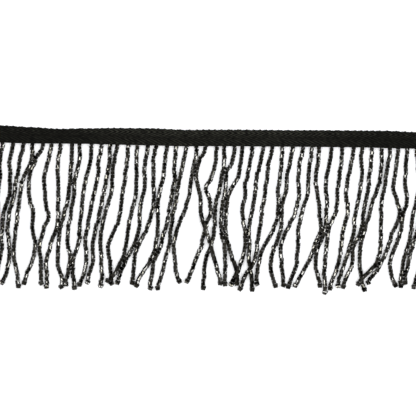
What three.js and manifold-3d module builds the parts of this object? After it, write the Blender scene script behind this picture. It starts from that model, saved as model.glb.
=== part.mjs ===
// A cut length of beaded fringe trim, lying flat and face up. A woven heading tape runs along X, and
// one comb of bead strands is sewn behind its lower edge and lies out towards -Y.
// Millimetres, +Z up. While it is built, Y is 0 at the tape's lower edge; the group then moves it so
// that the origin is the middle of its underside.
import * as THREE from 'three';
import { mergeVertices } from 'three/addons/utils/BufferGeometryUtils.js';
import Module from 'manifold-3d';

const wasm = await Module();
wasm.setup();

// Strands
const BEAD = 2.0;           // across a bead, and so the height and width of a tooth
const BEAD_FLAT = 1.2;      // width of the flat that a tooth lies on
const STATION = 10;         // distance down the strand from one X column to the next
const ROOT_COVER = 1.6;     // how far a strand starts behind the tape's lower edge
const TOOTH_STEPS = 12;
const CROSSING_RISE = 1.9;  // lift of a strand that lies on another
const CROSSING_REACH = 3;   // full lift continues this far past the crossing
const CROSSING_RAMP = 8;    // length over which the lift is gained and lost

// Heading tape
const TAPE_LENGTH = 280;
const TAPE_WIDTH = 10;      // nominal; EDGES gives the real edges
const TAPE_THICKNESS = 1;
const TAPE_STEP = 7;        // spacing of the sections along the tape
const SEWN_GAP = 0.3;       // between the tape and the strands behind it
const LEDGE = 2.4;          // width of the strip that lies on the first beads
const FLAT_STRIP = 3.8;     // width of the strip that lies on the surface

// Sewn strip that holds the strands together
const STRIP_BOTTOM = 0.6;
const STRIP_TOP = 3.4;
const STRIP_THICKNESS = 0.8;

// The tape's two edges wander a little. Columns: x, lower edge, upper edge.
const EDGES = [
  [-140, 0.2, 10.6],
  [-124, 0.1, 10.5],
  [-108, -0.2, 9.8],
  [-90, 0.0, 9.0],
  [-74, 0.1, 9.5],
  [-56, -0.1, 10.0],
  [-35, -0.3, 10.1],
  [-13, -0.5, 9.5],
  [0, -0.2, 9.8],
  [20, 0.0, 10.1],
  [45, 0.2, 10.2],
  [70, 0.3, 10.5],
  [90, 0.4, 10.6],
  [107, 0.2, 10.7],
  [124, 0.1, 10.2],
  [140, 0.1, 10.2],
];

// One row for each strand. Columns: strand number, X at its root and at every STATION of depth
// below the tape's lower edge down to 80 mm, X of its end, depth of its end.
const STRANDS = [
  [1, -135.1, -135.6, -136.4, -136.9, -136.6, -137.4, -138.0, -137.9, -138.4, -138.6, 85.0],
  [2, -129.3, -130.4, -131.0, -131.2, -131.9, -132.6, -132.5, -133.3, -134.6, -135.0, 86.0],
  [3, -123.5, -125.3, -125.0, -126.0, -126.3, -126.0, -126.5, -127.5, -128.5, -129.5, 86.0],
  [4, -117.2, -118.8, -119.0, -119.6, -122.3, -123.2, -123.4, -124.5, -126.0, -127.0, 86.0],
  [5, -111.2, -113.4, -115.2, -116.0, -118.7, -119.9, -119.2, -118.5, -121.3, -123.2, 85.0],
  [6, -105.9, -107.0, -110.5, -112.3, -113.7, -114.6, -115.7, -115.4, -113.7, -112.8, 87.0],
  [7, -99.7, -104.0, -107.2, -107.0, -105.3, -105.2, -103.5, -105.2, -108.4, -109.8, 85.0],
  [8, -94.4, -96.0, -97.7, -98.1, -96.7, -97.8, -100.5, -100.2, -99.6, -99.3, 84.8],
  [9, -88.3, -90.8, -90.4, -90.2, -89.8, -90.7, -93.9, -96.6, -95.9, -96.1, 87.0],
  [10, -82.1, -82.0, -83.0, -83.5, -85.8, -87.7, -89.3, -89.7, -87.5, -86.5, 87.0],
  [11, -77.2, -77.2, -79.5, -80.4, -81.9, -83.2, -83.8, -82.4, -84.1, -85.3, 85.3],
  [12, -70.6, -70.8, -73.6, -75.0, -75.8, -76.6, -77.4, -79.9, -80.2, -79.1, 87.5],
  [13, -64.8, -66.0, -66.2, -67.9, -70.0, -72.3, -73.5, -72.9, -75.0, -76.8, 85.7],
  [14, -59.4, -59.5, -61.2, -62.6, -64.6, -67.2, -68.8, -68.8, -71.1, -71.8, 84.0],
  [15, -54.4, -56.9, -57.2, -58.3, -61.3, -63.7, -64.5, -63.4, -63.0, -63.5, 86.0],
  [16, -48.1, -49.0, -50.1, -51.3, -52.2, -55.4, -59.1, -58.6, -57.4, -57.0, 84.7],
  [17, -42.5, -43.3, -42.9, -43.5, -45.7, -47.2, -48.9, -51.8, -58.0, -61.2, 82.5],
  [18, -36.5, -37.8, -38.1, -39.1, -41.0, -41.4, -44.2, -48.9, -52.9, -53.9, 84.0],
  [19, -31.5, -33.2, -32.9, -32.8, -33.6, -36.5, -41.1, -43.6, -44.5, -45.0, 84.0],
  [20, -25.1, -26.4, -27.3, -29.5, -30.6, -30.3, -31.3, -34.6, -40.5, -42.8, 85.7],
  [21, -19.7, -20.2, -20.3, -22.0, -23.4, -25.7, -27.9, -31.5, -33.2, -34.0, 87.0],
  [22, -13.6, -15.6, -17.1, -18.6, -20.9, -22.1, -23.3, -25.4, -27.8, -29.8, 87.2],
  [23, -7.5, -8.8, -10.5, -11.3, -14.6, -18.3, -20.0, -19.3, -17.4, -15.6, 82.6],
  [24, -2.0, -6.0, -6.9, -4.6, -4.3, -1.4, 2.6, 5.0, 7.8, 8.3, 83.5],
  [25, 4.5, 3.7, 1.1, 0.0, 1.8, -1.4, -3.8, -7.4, -11.3, -12.6, 82.6],
  [26, 9.2, 9.1, 7.5, 5.6, 4.5, 4.2, 2.0, -1.3, -2.1, -2.1, 86.4],
  [27, 15.8, 13.7, 10.9, 9.5, 8.6, 8.3, 10.1, 10.9, 10.7, 10.8, 83.9],
  [28, 20.2, 19.4, 16.6, 12.2, 10.9, 10.9, 13.3, 15.8, 18.3, 18.6, 83.6],
  [29, 26.6, 24.4, 22.3, 21.5, 20.6, 22.3, 22.7, 20.7, 15.7, 14.3, 83.9],
  [30, 32.4, 30.8, 28.8, 28.0, 26.0, 24.9, 25.2, 25.3, 26.8, 27.3, 86.9],
  [31, 38.5, 36.0, 35.1, 33.7, 31.9, 31.2, 29.6, 27.4, 21.5, 19.3, 86.3],
  [32, 44.1, 43.8, 42.7, 42.1, 41.6, 38.7, 33.8, 31.2, 29.9, 30.2, 83.5],
  [33, 50.0, 48.4, 47.2, 45.6, 44.3, 43.5, 40.1, 38.0, 40.1, 41.6, 84.5],
  [34, 56.4, 54.5, 54.2, 53.8, 52.0, 47.8, 44.0, 44.1, 45.7, 45.9, 84.2],
  [35, 61.6, 60.6, 59.7, 59.2, 56.1, 54.4, 54.1, 53.3, 50.0, 48.5, 84.8],
  [36, 66.1, 65.6, 64.7, 66.4, 67.7, 67.4, 63.4, 59.6, 54.7, 52.5, 84.0],
  [37, 73.9, 72.5, 70.6, 71.2, 71.2, 70.3, 66.2, 64.8, 67.0, 68.3, 83.9],
  [38, 79.9, 79.4, 78.4, 77.3, 75.8, 72.9, 71.3, 70.5, 70.6, 71.1, 88.2],
  [39, 86.7, 85.2, 83.4, 83.0, 83.5, 80.6, 79.8, 78.4, 75.0, 73.4, 85.6],
  [40, 92.2, 91.8, 91.7, 90.9, 88.4, 87.4, 84.8, 82.3, 79.1, 78.2, 83.9],
  [41, 97.4, 97.3, 96.5, 95.4, 92.9, 91.1, 87.6, 86.5, 82.8, 81.5, 84.6],
  [42, 103.8, 103.4, 102.7, 99.5, 96.5, 94.0, 91.5, 91.2, 93.0, 94.9, 86.0],
  [43, 108.6, 107.0, 106.0, 104.3, 104.0, 103.8, 103.7, 100.3, 91.3, 90.0, 82.5],
  [44, 113.4, 112.8, 111.3, 112.8, 114.6, 111.3, 108.2, 103.5, 96.5, 95.4, 81.6],
  [45, 118.7, 118.5, 117.7, 119.2, 117.0, 115.7, 112.1, 109.6, 112.1, 113.5, 82.9],
  [46, 124.6, 125.4, 126.3, 125.2, 122.8, 121.8, 119.6, 117.0, 116.2, 116.6, 83.4],
  [47, 130.3, 129.8, 129.6, 129.2, 127.9, 125.9, 122.4, 120.9, 118.7, 118.9, 81.3],
  [48, 136.2, 135.6, 134.6, 133.8, 132.9, 131.2, 129.8, 127.6, 125.0, 123.7, 83.9],
];

// Sharper bends between two stations. Columns: strand number, depth, X.
const BENDS = [
  [8, 44, -95.6],
  [17, 76, -54.4],
  [24, 15, -7.1],
  [25, 26, -1.9],
  [27, 15, 11.3],
  [29, 75, 19.0],
  [33, 26, 47.1],
  [40, 3, 91.3],
  [44, 24, 110.7],
];

// Where a strand lies on the ones it crosses. Columns: strand number, first depth, last depth.
const CROSSINGS = [
  [17, 79, 83],
  [24, 49, 60],
  [28, 77, 78],
  [30, 73, 74],
  [43, 78, 80],
];

function edgesAt(x) {
  const next = Math.max(1, EDGES.findIndex(([edgeX]) => edgeX >= x));
  const [x0, lower0, upper0] = EDGES[next - 1];
  const [x1, lower1, upper1] = EDGES[next];
  const t = THREE.MathUtils.smoothstep(x, x0, x1);
  return {
    lower: THREE.MathUtils.lerp(lower0, lower1, t),
    upper: THREE.MathUtils.lerp(upper0, upper1, t),
  };
}

// Moves every vertex of a geometry by a function that changes the vector it is given.
function displace(geometry, move) {
  const position = geometry.attributes.position;
  const vertex = new THREE.Vector3();
  for (let i = 0; i < position.count; i += 1) {
    vertex.fromBufferAttribute(position, i);
    move(vertex);
    position.setXYZ(i, vertex.x, vertex.y, vertex.z);
  }
  return geometry;
}

// Extrudes a section drawn in (y, z) along the whole tape, centred on x = 0.
function alongTape(section) {
  const geometry = new THREE.ExtrudeGeometry(section, {
    depth: TAPE_LENGTH,
    steps: TAPE_LENGTH / TAPE_STEP,
    curveSegments: 5,
    bevelEnabled: false,
  });
  geometry.translate(0, 0, -TAPE_LENGTH / 2);
  const yzx = new THREE.Matrix4().makeBasis(
    new THREE.Vector3(0, 1, 0),
    new THREE.Vector3(0, 0, 1),
    new THREE.Vector3(1, 0, 0),
  );
  return geometry.applyMatrix4(yzx);
}

function tapeGeometry() {
  const ledgeZ = BEAD + SEWN_GAP;
  const flatY = TAPE_WIDTH - FLAT_STRIP;
  const middleY = (LEDGE + flatY) / 2;
  const section = new THREE.Shape();
  section.moveTo(0, ledgeZ);
  section.lineTo(LEDGE, ledgeZ);
  section.bezierCurveTo(middleY, ledgeZ, middleY, 0, flatY, 0);
  section.lineTo(TAPE_WIDTH, 0);
  section.lineTo(TAPE_WIDTH, TAPE_THICKNESS);
  section.lineTo(flatY, TAPE_THICKNESS);
  section.bezierCurveTo(
    middleY, TAPE_THICKNESS, middleY, ledgeZ + TAPE_THICKNESS, LEDGE, ledgeZ + TAPE_THICKNESS,
  );
  section.lineTo(0, ledgeZ + TAPE_THICKNESS);
  return displace(alongTape(section), (vertex) => {
    const { lower, upper } = edgesAt(vertex.x);
    vertex.y = THREE.MathUtils.lerp(lower, upper, vertex.y / TAPE_WIDTH);
  });
}

function sewnStripGeometry() {
  const section = new THREE.Shape();
  section.moveTo(STRIP_BOTTOM, 0);
  section.lineTo(STRIP_TOP, 0);
  section.lineTo(STRIP_TOP, STRIP_THICKNESS);
  section.lineTo(STRIP_BOTTOM, STRIP_THICKNESS);
  return displace(alongTape(section), (vertex) => {
    vertex.y += edgesAt(vertex.x).lower;
  });
}

function routeOf([number, root, ...rest]) {
  const stations = rest.slice(0, -2);
  const [endX, endDepth] = rest.slice(-2);
  const points = [[root, -ROOT_COVER - edgesAt(root).lower], [root, 0]];
  stations.forEach((x, i) => points.push([x, (i + 1) * STATION]));
  points.push([endX, endDepth]);
  const bends = BENDS.filter(([strand]) => strand === number).map(([, depth, x]) => [x, depth]);
  points.push(...bends);
  points.sort((a, b) => a[1] - b[1]);
  return new THREE.CatmullRomCurve3(
    points.map(([x, depth]) => new THREE.Vector3(x, -depth, BEAD / 2)),
    false,
    'centripetal',
  );
}

function liftAt(number, depth) {
  const lifts = CROSSINGS.filter(([strand]) => strand === number).map(([, first, last]) => {
    const outside = Math.max(first - depth, depth - last, 0) - CROSSING_REACH;
    return CROSSING_RISE * (1 - THREE.MathUtils.smoothstep(outside, 0, CROSSING_RAMP));
  });
  return Math.max(0, ...lifts);
}

function toothGeometry(row) {
  const section = new THREE.Shape();
  section.moveTo(BEAD / 2, -BEAD_FLAT / 2);
  section.lineTo(BEAD / 2, BEAD_FLAT / 2);
  section.lineTo(0, BEAD / 2);
  section.lineTo(-BEAD / 2, BEAD_FLAT / 2);
  section.lineTo(-BEAD / 2, -BEAD_FLAT / 2);
  section.lineTo(0, -BEAD / 2);
  const geometry = new THREE.ExtrudeGeometry(section, {
    steps: TOOTH_STEPS,
    bevelEnabled: false,
    extrudePath: routeOf(row),
  });
  return displace(geometry, (vertex) => {
    vertex.z += liftAt(row[0], -vertex.y);
  });
}

function solidOf(geometry) {
  geometry.deleteAttribute('normal');
  geometry.deleteAttribute('uv');
  const merged = mergeVertices(geometry);
  return new wasm.Manifold(new wasm.Mesh({
    numProp: 3,
    vertProperties: new Float32Array(merged.attributes.position.array),
    triVerts: new Uint32Array(merged.index.array),
  }));
}

function geometryOf(solid) {
  const mesh = solid.getMesh();
  const geometry = new THREE.BufferGeometry();
  geometry.setAttribute('position', new THREE.BufferAttribute(mesh.vertProperties, 3));
  geometry.setIndex(new THREE.BufferAttribute(mesh.triVerts, 1));
  return geometry;
}

function fringeGeometry() {
  let comb = solidOf(sewnStripGeometry());
  for (const row of STRANDS) {
    comb = comb.add(solidOf(toothGeometry(row)));
  }
  return geometryOf(comb);
}

const trim = new THREE.Group();

const tape = new THREE.Mesh(
  tapeGeometry(),
  new THREE.MeshStandardMaterial({ color: 0x1d1d1a, roughness: 0.85, metalness: 0 }),
);
tape.name = 'tape';
trim.add(tape);

const fringe = new THREE.Mesh(
  fringeGeometry(),
  new THREE.MeshStandardMaterial({ color: 0x0a0a0a, roughness: 0.15, metalness: 0 }),
);
fringe.name = 'fringe';
trim.add(fringe);

const box = new THREE.Box3().setFromObject(trim);
const middle = box.getCenter(new THREE.Vector3());
trim.position.set(-middle.x, -middle.y, -box.min.z);

export default trim;
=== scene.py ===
"""A cut length of beaded fringe trim, lying flat and face up.

A black herringbone tape heads a row of strands strung with hex-cut glass beads. Each strand ends
in a bead that is turned crosswise, and a line of stitching holds the strands behind the tape's
lower edge. The tables are in millimetres, in the trim's own measures: X along the tape, and depth
down from the nominal lower edge of the tape.
"""

import functools
import math
import random
from dataclasses import dataclass
from itertools import pairwise

import bmesh
import bpy
from bpy.props import (
    FloatProperty,
    FloatVectorProperty,
    IntProperty,
    PointerProperty,
)
from mathutils import Matrix, Vector


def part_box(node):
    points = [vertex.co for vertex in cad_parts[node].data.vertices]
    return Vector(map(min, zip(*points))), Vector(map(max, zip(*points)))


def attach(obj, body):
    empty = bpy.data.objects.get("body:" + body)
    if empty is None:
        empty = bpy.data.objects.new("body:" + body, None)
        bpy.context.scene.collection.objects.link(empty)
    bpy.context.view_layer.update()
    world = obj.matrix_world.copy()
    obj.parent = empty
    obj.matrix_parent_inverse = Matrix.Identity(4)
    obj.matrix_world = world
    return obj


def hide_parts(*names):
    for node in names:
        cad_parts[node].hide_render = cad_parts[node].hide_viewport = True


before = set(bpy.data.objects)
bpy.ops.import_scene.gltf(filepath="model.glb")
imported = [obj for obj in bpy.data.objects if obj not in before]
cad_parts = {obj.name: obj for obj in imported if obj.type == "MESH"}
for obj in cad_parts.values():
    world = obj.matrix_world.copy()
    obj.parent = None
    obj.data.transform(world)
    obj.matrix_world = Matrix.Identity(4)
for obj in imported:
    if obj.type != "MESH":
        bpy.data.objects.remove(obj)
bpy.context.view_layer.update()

bl_info = {
    "name": "Beaded Fringe Trim",
    "version": (1, 0, 0),
    "blender": (4, 5, 0),
    "location": "View3D > Sidebar > Fringe",
    "description": "Builds a length of herringbone tape with a fringe of hex-cut glass beads",
    "category": "Object",
}

MM = 0.001
BODY = "root"

# Tape, in mm
TAPE_LENGTH = 280
TAPE_WIDTH = 10
TAPE_SECTION_STEP = 7
LEDGE = 2.4
FLAT_STRIP = 3.8
LEDGE_MIDDLE_Z = 3.0
FLAT_MIDDLE_Z = 0.52

# The tape's two edges wander a little. Columns: x, lower edge, upper edge.
EDGES = [
    [-140, 0.2, 10.6],
    [-124, 0.1, 10.5],
    [-108, -0.2, 9.8],
    [-90, 0.0, 9.0],
    [-74, 0.1, 9.5],
    [-56, -0.1, 10.0],
    [-35, -0.3, 10.1],
    [-13, -0.5, 9.5],
    [0, -0.2, 9.8],
    [20, 0.0, 10.1],
    [45, 0.2, 10.2],
    [70, 0.3, 10.5],
    [90, 0.4, 10.6],
    [107, 0.2, 10.7],
    [124, 0.1, 10.2],
    [140, 0.1, 10.2],
]

# Strands, in mm
STATION = 10  # depth from one X column to the next
ROOT_COVER = 2.3  # how far a strand may start behind the tape's lower edge

# One row for each strand. Columns: strand number, X at its root and at every STATION of depth down
# to 80, X of its end, depth of its end.
STRANDS = [
    [1, -135.1, -135.6, -136.4, -136.9, -136.6, -137.4, -138.0, -137.9, -138.4, -138.6, 85.0],
    [2, -129.3, -130.4, -131.0, -131.2, -131.9, -132.6, -132.5, -133.3, -134.6, -135.0, 86.0],
    [3, -123.5, -125.3, -125.0, -126.0, -126.3, -126.0, -126.5, -127.5, -128.5, -129.5, 86.0],
    [4, -117.2, -118.8, -119.0, -119.6, -122.3, -123.2, -123.4, -124.5, -126.0, -127.0, 86.0],
    [5, -111.2, -113.4, -115.2, -116.0, -118.7, -119.9, -119.2, -118.5, -121.3, -123.2, 85.0],
    [6, -105.9, -107.0, -110.5, -112.3, -113.7, -114.6, -115.7, -115.4, -113.7, -112.8, 87.0],
    [7, -99.7, -104.0, -107.2, -107.0, -105.3, -105.2, -103.5, -105.2, -108.4, -109.8, 85.0],
    [8, -94.4, -96.0, -97.7, -98.1, -96.7, -97.8, -100.5, -100.2, -99.6, -99.3, 84.8],
    [9, -88.3, -90.8, -90.4, -90.2, -89.8, -90.7, -93.9, -96.6, -95.9, -96.1, 87.0],
    [10, -82.1, -82.0, -83.0, -83.5, -85.8, -87.7, -89.3, -89.7, -87.5, -86.5, 87.0],
    [11, -77.2, -77.2, -79.5, -80.4, -81.9, -83.2, -83.8, -82.4, -84.1, -85.3, 85.3],
    [12, -70.6, -70.8, -73.6, -75.0, -75.8, -76.6, -77.4, -79.9, -80.2, -79.1, 87.5],
    [13, -64.8, -66.0, -66.2, -67.9, -70.0, -72.3, -73.5, -72.9, -75.0, -76.8, 85.7],
    [14, -59.4, -59.5, -61.2, -62.6, -64.6, -67.2, -68.8, -68.8, -71.1, -71.8, 84.0],
    [15, -54.4, -56.9, -57.2, -58.3, -61.3, -63.7, -64.5, -63.4, -63.0, -63.5, 86.0],
    [16, -48.1, -49.0, -50.1, -51.3, -52.2, -55.4, -59.1, -58.6, -57.4, -57.0, 84.7],
    [17, -42.5, -43.3, -42.9, -43.5, -45.7, -47.2, -48.9, -51.8, -58.0, -61.2, 82.5],
    [18, -36.5, -37.8, -38.1, -39.1, -41.0, -41.4, -44.2, -48.9, -52.9, -53.9, 84.0],
    [19, -31.5, -33.2, -32.9, -32.8, -33.6, -36.5, -41.1, -43.6, -44.5, -45.0, 84.0],
    [20, -25.1, -26.4, -27.3, -29.5, -30.6, -30.3, -31.3, -34.6, -40.5, -42.8, 85.7],
    [21, -19.7, -20.2, -20.3, -22.0, -23.4, -25.7, -27.9, -31.5, -33.2, -34.0, 87.0],
    [22, -13.6, -15.6, -17.1, -18.6, -20.9, -22.1, -23.3, -25.4, -27.8, -29.8, 87.2],
    [23, -7.5, -8.8, -10.5, -11.3, -14.6, -18.3, -20.0, -19.3, -17.4, -15.6, 82.6],
    [24, -2.0, -6.0, -6.9, -4.6, -4.3, -1.4, 2.6, 5.0, 7.8, 8.3, 83.5],
    [25, 4.5, 3.7, 1.1, 0.0, 1.8, -1.4, -3.8, -7.4, -11.3, -12.6, 82.6],
    [26, 9.2, 9.1, 7.5, 5.6, 4.5, 4.2, 2.0, -1.3, -2.1, -2.1, 86.4],
    [27, 15.8, 13.7, 10.9, 9.5, 8.6, 8.3, 10.1, 10.9, 10.7, 10.8, 83.9],
    [28, 20.2, 19.4, 16.6, 12.2, 10.9, 10.9, 13.3, 15.8, 18.3, 18.6, 83.6],
    [29, 26.6, 24.4, 22.3, 21.5, 20.6, 22.3, 22.7, 20.7, 15.7, 14.3, 83.9],
    [30, 32.4, 30.8, 28.8, 28.0, 26.0, 24.9, 25.2, 25.3, 26.8, 27.3, 86.9],
    [31, 38.5, 36.0, 35.1, 33.7, 31.9, 31.2, 29.6, 27.4, 21.5, 19.3, 86.3],
    [32, 44.1, 43.8, 42.7, 42.1, 41.6, 38.7, 33.8, 31.2, 29.9, 30.2, 83.5],
    [33, 50.0, 48.4, 47.2, 45.6, 44.3, 43.5, 40.1, 38.0, 40.1, 41.6, 84.5],
    [34, 56.4, 54.5, 54.2, 53.8, 52.0, 47.8, 44.0, 44.1, 45.7, 45.9, 84.2],
    [35, 61.6, 60.6, 59.7, 59.2, 56.1, 54.4, 54.1, 53.3, 50.0, 48.5, 84.8],
    [36, 66.1, 65.6, 64.7, 66.4, 67.7, 67.4, 63.4, 59.6, 54.7, 52.5, 84.0],
    [37, 73.9, 72.5, 70.6, 71.2, 71.2, 70.3, 66.2, 64.8, 67.0, 68.3, 83.9],
    [38, 79.9, 79.4, 78.4, 77.3, 75.8, 72.9, 71.3, 70.5, 70.6, 71.1, 88.2],
    [39, 86.7, 85.2, 83.4, 83.0, 83.5, 80.6, 79.8, 78.4, 75.0, 73.4, 85.6],
    [40, 92.2, 91.8, 91.7, 90.9, 88.4, 87.4, 84.8, 82.3, 79.1, 78.2, 83.9],
    [41, 97.4, 97.3, 96.5, 95.4, 92.9, 91.1, 87.6, 86.5, 82.8, 81.5, 84.6],
    [42, 103.8, 103.4, 102.7, 99.5, 96.5, 94.0, 91.5, 91.2, 93.0, 94.9, 86.0],
    [43, 108.6, 107.0, 106.0, 104.3, 104.0, 103.8, 103.7, 100.3, 91.3, 90.0, 82.5],
    [44, 113.4, 112.8, 111.3, 112.8, 114.6, 111.3, 108.2, 103.5, 96.5, 95.4, 81.6],
    [45, 118.7, 118.5, 117.7, 119.2, 117.0, 115.7, 112.1, 109.6, 112.1, 113.5, 82.9],
    [46, 124.6, 125.4, 126.3, 125.2, 122.8, 121.8, 119.6, 117.0, 116.2, 116.6, 83.4],
    [47, 130.3, 129.8, 129.6, 129.2, 127.9, 125.9, 122.4, 120.9, 118.7, 118.9, 81.3],
    [48, 136.2, 135.6, 134.6, 133.8, 132.9, 131.2, 129.8, 127.6, 125.0, 123.7, 83.9],
]

# Sharper bends between two stations. Columns: strand number, depth, X.
BENDS = [
    [8, 44, -95.6],
    [17, 76, -54.4],
    [24, 15, -7.1],
    [25, 26, -1.9],
    [27, 15, 11.3],
    [29, 75, 19.0],
    [33, 26, 47.1],
    [40, 3, 91.3],
    [44, 24, 110.7],
]

# Strands that lie on top of the ones that they cross
OVER_STRANDS = {17, 24, 28, 30, 43}

# How the strands are laid out, in mm
SAMPLE = 0.5  # depth between two samples of a strand's path
DRAW_REACH = 4.0  # distance between two strands at which they start to draw together
DRAW_TOUCH = 2.9  # distance at which they are drawn together until they touch
CLEARANCE = 2.34  # least distance between the middles of two strands side by side
TIP_CLEARANCE = 2.75  # the same beside a crosswise end bead
TIP_DEPTH = 3  # how far up from a strand's end TIP_CLEARANCE holds
SPREAD_ROUNDS = 60
SPREAD_SHARE = 0.3  # share of a lack of room that one strand makes up in a round
SMOOTH_SAMPLES = 4  # to each side of a sample, when moves and lifts are made smooth
NEIGHBOURS = 3  # how many strands on a side a strand can meet
LIFT_SLOPE = 0.3  # steepest rise of a lifted strand, for 1 of depth

# Beads. The first four are shares of their size across.
EASED_EDGE = 0.12
CORNER_SHARE = 1.09  # size over the sharp corners, before they are eased
END_RING = 0.25  # width of the low cone round the hole
DOME = 0.035
END_GAP = 0.15  # mm between a strand's last bead and its crosswise bead
BEAD_SIZE_SPREAD = 0.05  # below the full size, and half as much above it
BEAD_LENGTH_SPREAD = 0.06
BEAD_TILT = math.radians(8)
BEAD_STRAY = 0.2  # mm that a bead moves to one side from the bead before it
STRAY_KEPT = 0.65  # share of the last bead's stray that the next one keeps
ROLL_DRIFT = math.radians(6)  # from one bead to the next in a run
RUN_BREAK = 0.15  # share of beads that start a new run
ROLL_SPREAD = math.radians(14)  # from lying on a flat side
END_BEAD_LENGTH = 1.3
END_BEAD_TURN = math.radians(22)
END_BEAD_SLOPE = -0.1  # fall of a crosswise bead, for 1 along
TILT_LEAN = 0.5  # how far the axis that a bead is tilted about leans from its hole
SEED_STEP = 1009  # more than the number of strands, so that no two seeds share a draw

# Shape of the tape's cloth
BEND_STEPS = 24
HEM = 1.2  # mm of the upper edge that the scallops take in
SCALLOPS = ((0.6, 4.3, 2, 5), (0.4, 1.9, 1, 3))  # share, pitch, wobble, mm to a radian of wobble
ROUNDED_EDGE = 0.45  # mm
THINNEST_EDGE = 0.35  # share of the cloth's thickness

# Half of the thread's loop round a crosswise bead, from above its middle to inside its hole.
# Columns: share of the bead's half length, mm more; share of the loop's height, mm more.
END_LOOP = [
    [0.0, 0.0, 1.0, 0.06],
    [0.55, 0.0, 1.0, 0.0],
    [0.95, 0.0, 0.93, 0.0],
    [1.0, 0.15, 0.62, 0.0],
    [1.0, 0.17, 0.25, 0.0],
    [1.0, -0.05, 0.0, 0.0],
]
LOOP_CLEARANCE = 0.12  # mm between the bead and the loop
KNOT_RISE = 0.5  # mm that the loop reaches into the bead above

# Thread and stitches
STITCH_MARGIN = 1  # mm of tape past each end of the stitching
STITCH_GIRTH = 1.3  # as a share of the stringing thread's
ZIGZAG = 0.45  # mm to each side
HOLD_DROP = 0.2  # mm that the thread which holds a strand lies below the zigzag
HOLD_BOW = 0.15  # mm
HOLD_TAIL = (0.8, 0.5, 0.1)  # mm along, across and below, to where that thread ends
WELD = 0.01  # share of the thread's diameter

# Looks of the tape, with shades as shares of its ribs' colour. A ramp's numbers are: from, to,
# result at from, result at to. A bump's are: strength, depth in metres.
RIB_WAVE = (0.85, 0.5)  # swing and middle of the painted sheen on a rib and the painted shade in its grooves
RIB_ROUNDING = 0.2
YARN_SHADES = (0.55, 1.0)  # painted shade between two yarns and painted sheen on one
FIBRE_SHADES = (0.4, 1.6)
STREAK_RAMP = (0.3, 0.7, 0.25, 1.85)
STREAK_ACROSS = 0.8  # how fast the streaks change from rib to rib
PAINTED_SHEEN_PLACE = 0.52  # where the painted sheen along the tape is brightest, as a share of its length
PAINTED_SHEEN_RAMP = (0.1, 0.36, 1.3, 0.66)  # painted sheen, by the distance from where it is brightest
# Painted light: the lower, sloping part of the tape darker and its upper, flat part lighter
LIT_UPPER_REACH = (1.5, 1.0)  # painted light on the upper part: mm below the points and above the turns
LIT_UPPER_SHADES = (0.88, 1.4)
PLAIN_RAMP = (0.4, 0.65, 0.0, 0.4)  # share of the ribs that is lost in plain patches
PLAIN_SHADE = 0.42
FULL_SHADE = 2.0  # at which the cloth has its light colour
PLAIN_SCALE = 130.0
RIB_ROUGHNESS = (0.95, 0.75)  # between two ribs and on one
TAPE_FIBRES = 4000.0
FIBRE_HEIGHT = 0.5  # as a share of a rib's height
TAPE_BUMP = (0.6, 0.00012)

# Looks of the yarn's fibres, the thread and the glass
FIBRE_PATCHES = (0.08, 0.6)  # scale and share of the patches, beside the fibres
THREAD_FIBRES = 9000.0
THREAD_ROUGHNESS = (0.45, 0.7)
THREAD_BUMP = (0.5, 0.00003)
SPECKS = (6000.0, 3.0)  # scale and detail
SPECK_ROUGHNESS = 0.04
GLASS_WAVES = (850.0, 0.5)  # scale and detail
GLASS_BUMP = (0.5, 0.00009)

# Stage
GLOW_REACH = (0.2, 1.0)  # metres from the trim over which the floor's own white comes in
SKY_PATCHES = (3.0, 1.0)  # scale and detail
PATCH_EDGES = (0.42, 0.58)  # noise over which a patch of the sky comes in
SKY_FALL = (0.1, 0.6)  # heights over which the sky goes from white to its patches
STRIP_ANGLES = (-30, 8, 36)  # degrees from straight above, towards +X
SENSOR = 36  # mm


# --- Where things lie ---


def smoothstep(t):
    t = min(max(t, 0.0), 1.0)
    return t * t * (3 - 2 * t)


def lerp(a, b, t):
    return a + (b - a) * t


def edges_at(x):
    """Y of the tape's lower and upper edge at x, in mm."""
    for (x0, lower0, upper0), (x1, lower1, upper1) in pairwise(EDGES):
        if x <= x1:
            break
    t = smoothstep((x - x0) / (x1 - x0))
    return lerp(lower0, lower1, t), lerp(upper0, upper1, t)


def nominal_edge_y():
    """Frame Y, in mm, of the tape's nominal lower edge, from which the tables measure."""
    sections = range(-TAPE_LENGTH // 2, TAPE_LENGTH // 2 + 1, TAPE_SECTION_STEP)
    highest = max(edges_at(x)[1] for x in sections)
    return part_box("tape")[1].y / MM - highest


EDGE_Y = nominal_edge_y()


def bezier(p0, p1, p2, p3, t):
    s = 1 - t
    return p0 * s**3 + p1 * 3 * s * s * t + p2 * 3 * s * t * t + p3 * t**3


@functools.cache
def tape_section():
    """Points (y, z) down the middle of the tape's thickness, and how far along each is, in mm."""
    flat_y = TAPE_WIDTH - FLAT_STRIP
    middle_y = (LEDGE + flat_y) / 2
    corners = [
        Vector((LEDGE, LEDGE_MIDDLE_Z)),
        Vector((middle_y, LEDGE_MIDDLE_Z)),
        Vector((middle_y, FLAT_MIDDLE_Z)),
        Vector((flat_y, FLAT_MIDDLE_Z)),
    ]
    points = [Vector((0, LEDGE_MIDDLE_Z))]
    points += [bezier(*corners, i / BEND_STEPS) for i in range(BEND_STEPS + 1)]
    points.append(Vector((TAPE_WIDTH, FLAT_MIDDLE_Z)))
    along = [0.0]
    for a, b in pairwise(points):
        along.append(along[-1] + (b - a).length)
    return points, along


def section_at(distance):
    """(y, z) and the upward normal of the tape's section at a distance across the cloth, in mm."""
    points, along = tape_section()
    for i in range(1, len(points)):
        if distance <= along[i] or i == len(points) - 1:
            break
    t = (distance - along[i - 1]) / (along[i] - along[i - 1])
    place = points[i - 1].lerp(points[i], t)
    run = (points[i] - points[i - 1]).normalized()
    return place, Vector((-run.y, run.x))


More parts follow.
